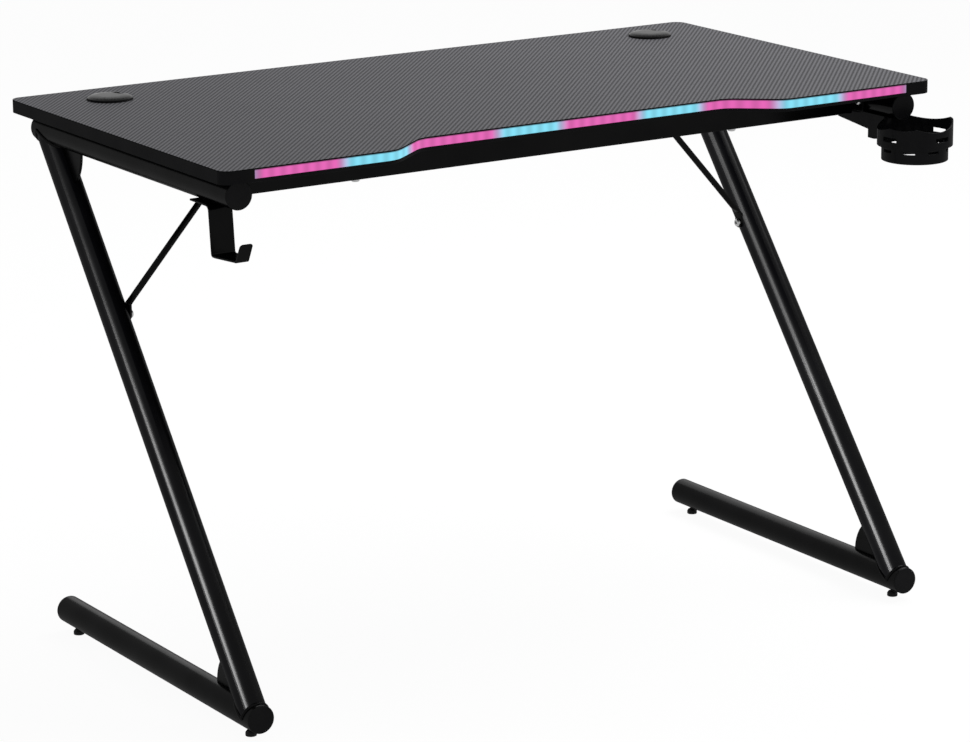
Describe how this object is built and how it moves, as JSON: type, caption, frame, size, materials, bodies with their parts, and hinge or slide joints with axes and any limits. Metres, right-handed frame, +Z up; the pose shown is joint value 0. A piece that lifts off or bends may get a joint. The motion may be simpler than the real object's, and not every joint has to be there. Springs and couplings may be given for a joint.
{
  "type": "gaming desk",
  "caption": "Gaming desk with Z-shaped tube side frames, a carbon-look top with a recessed, lit front edge, cable grommets, a headphone hook and a cup holder.",
  "frame": {"origin": "on the floor, under the middle of the deck", "axes": "+X to the user's right along the deck, +Y away from the user to the rear edge, +Z up"},
  "size_m": [1.1369, 0.6665, 0.7565],
  "materials": {
    "carbon_laminate": "carbon-twill laminate, satin",
    "edge_black": "satin edge band",
    "particle_board": "raw particle board, covered",
    "opal_plastic": "opal, lit from behind",
    "circuit": "circuit laminate",
    "emitter": "moulded emitter",
    "black_plastic": "moulded, fine texture",
    "cup_plastic": "moulded, semi-gloss",
    "foot_plastic": "moulded",
    "black_powder_coat": "black powder coat, semi-gloss",
    "zinc_steel": "zinc plated",
    "insert_brass": "turned"
  },
  "bodies": {
    "frame": {"beam_deck_bolts": "zinc_steel", "beam_plate_bolts": "zinc_steel", "brace_bolts": "zinc_steel", "brace_deck_bolts": "zinc_steel", "brace_left": "black_powder_coat", "brace_right": "black_powder_coat", "controller_board": "circuit", "controller_case": "black_plastic", "controller_cover": "black_plastic", "controller_screws": "zinc_steel", "cup_holder": "cup_plastic", "cup_holder_bolts": "zinc_steel", "deck_board": "particle_board", "deck_edge_band": "edge_black", "deck_inserts": "insert_brass", "deck_top_sheet": "carbon_laminate", "foot_nuts": "zinc_steel", "front_beam": "black_powder_coat", "front_beam_plate_left": "black_powder_coat", "front_beam_plate_right": "black_powder_coat", "grommet_liner_left": "black_plastic", "grommet_liner_right": "black_plastic", "headphone_hook": "black_powder_coat", "hook_bolts": "zinc_steel", "leg_left": "black_powder_coat", "leg_right": "black_powder_coat", "light_diffuser": "opal_plastic", "light_emitters": "emitter", "light_lead": "black_plastic", "light_tape": "circuit", "lower_cap_front_left": "black_plastic", "lower_cap_front_right": "black_plastic", "lower_cap_rear_left": "black_plastic", "lower_cap_rear_right": "black_plastic", "lower_gusset_left": "black_powder_coat", "lower_gusset_right": "black_powder_coat", "lower_tube_left": "black_powder_coat", "lower_tube_right": "black_powder_coat", "power_socket": "black_plastic", "rear_beam": "black_powder_coat", "rear_beam_plate_left": "black_powder_coat", "rear_beam_plate_right": "black_powder_coat", "tube_deck_bolts": "zinc_steel", "tube_rivet_nuts": "zinc_steel", "upper_cap_front_left": "black_plastic", "upper_cap_front_right": "black_plastic", "upper_cap_rear_left": "black_plastic", "upper_cap_rear_right": "black_plastic", "upper_gusset_left": "black_powder_coat", "upper_gusset_right": "black_powder_coat", "upper_tube_left": "black_powder_coat", "upper_tube_right": "black_powder_coat"},
    "foot_front_left": {"levelling_foot_front_left": "foot_plastic"},
    "foot_rear_left": {"levelling_foot_rear_left": "foot_plastic"},
    "foot_front_right": {"levelling_foot_front_right": "foot_plastic"},
    "foot_rear_right": {"levelling_foot_rear_right": "foot_plastic"},
    "grommet_cap_left": {"grommet_cap_left": "black_plastic"},
    "grommet_cap_right": {"grommet_cap_right": "black_plastic"},
    "light_button": {"light_button": "black_plastic"}
  },
  "joints": [
    {"name": "foot_front_left_level", "type": "slide", "parent": "frame", "child": "foot_front_left", "axis": [0, 0, 1], "range_m": [-0.008, 0.0025]},
    {"name": "foot_rear_left_level", "type": "slide", "parent": "frame", "child": "foot_rear_left", "axis": [0, 0, 1], "range_m": [-0.008, 0.0025]},
    {"name": "foot_front_right_level", "type": "slide", "parent": "frame", "child": "foot_front_right", "axis": [0, 0, 1], "range_m": [-0.008, 0.0025]},
    {"name": "foot_rear_right_level", "type": "slide", "parent": "frame", "child": "foot_rear_right", "axis": [0, 0, 1], "range_m": [-0.008, 0.0025]},
    {"name": "grommet_cap_left_turn", "type": "hinge", "parent": "frame", "child": "grommet_cap_left", "pos_m": [-0.447, 0.22, 0.752], "axis": [0, 0, 1], "continuous": true},
    {"name": "grommet_cap_right_turn", "type": "hinge", "parent": "frame", "child": "grommet_cap_right", "pos_m": [0.447, 0.22, 0.752], "axis": [0, 0, 1], "continuous": true},
    {"name": "light_button_press", "type": "slide", "parent": "frame", "child": "light_button", "axis": [0, 0, 1], "range_m": [0, 0.0008], "stiffness_N_per_m": 400}
  ]
}
